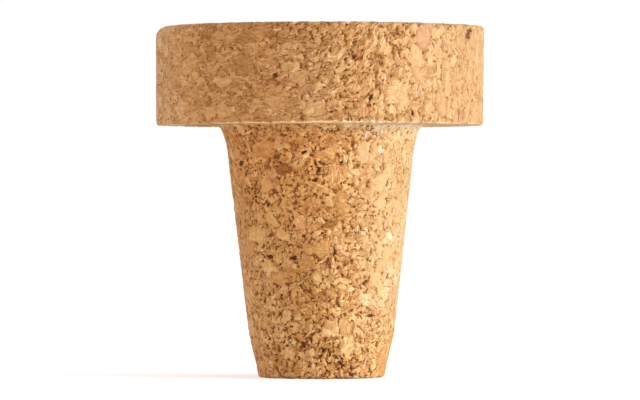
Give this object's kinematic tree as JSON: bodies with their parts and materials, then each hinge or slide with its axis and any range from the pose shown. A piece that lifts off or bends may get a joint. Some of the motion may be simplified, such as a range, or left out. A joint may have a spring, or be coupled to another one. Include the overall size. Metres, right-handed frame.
{
  "type": "cork stopper",
  "caption": "Tapered round stopper of agglomerated cork, with a wide flat disc head, for plugging the neck of a bottle or jar.",
  "frame": {"origin": "centre of the tip's end face, which the stopper stands on", "axes": "+Z along the stopper's axis, from the tip to the head; X and Y are across it"},
  "size_m": [0.04, 0.04, 0.0426],
  "materials": {
    "cork": "matte agglomerated cork, tan granules with dark brown pits between them"
  },
  "bodies": {
    "root": {"stopper": "cork"}
  },
  "joints": []
}
